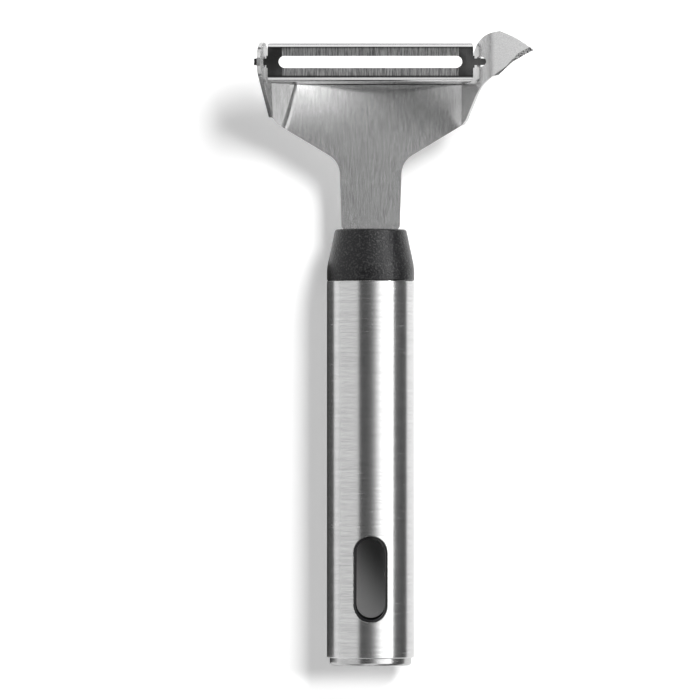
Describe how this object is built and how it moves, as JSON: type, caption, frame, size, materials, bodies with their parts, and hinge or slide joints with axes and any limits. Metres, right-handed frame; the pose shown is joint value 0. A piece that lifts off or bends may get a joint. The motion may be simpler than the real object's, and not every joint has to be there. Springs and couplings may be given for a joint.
{
  "type": "vegetable peeler",
  "caption": "Crosswise vegetable peeler: round steel tube handle with a black collar and hanging slot, stamped steel head, swinging slotted blade and an eye remover at one side.",
  "frame": {"origin": "middle of the flat butt face at the lower end of the handle", "axes": "+Y up the handle to the blade, +X to the eye remover, +Z the face that meets the vegetable"},
  "size_m": [0.0805, 0.1833, 0.0331],
  "materials": {
    "head_steel": "brushed along the handle",
    "blade_steel": "polished, with ground edges",
    "collar_plastic": "fine spark-eroded grain",
    "tube_steel": "brushed round the tube",
    "core_plastic": "smooth moulded",
    "cap_steel": "smooth drawn"
  },
  "bodies": {
    "handle": {"head_frame": "head_steel", "collar": "collar_plastic", "handle_tube": "tube_steel", "hanging_core": "core_plastic", "end_cap": "cap_steel"},
    "blade": {"swivel_blade": "blade_steel"}
  },
  "joints": [
    {"name": "blade_swivel", "type": "hinge", "parent": "handle", "child": "blade", "pos_m": [0, 0.1746, 0.014], "axis": [1, 0, 0], "range_deg": [-26, 34]}
  ]
}
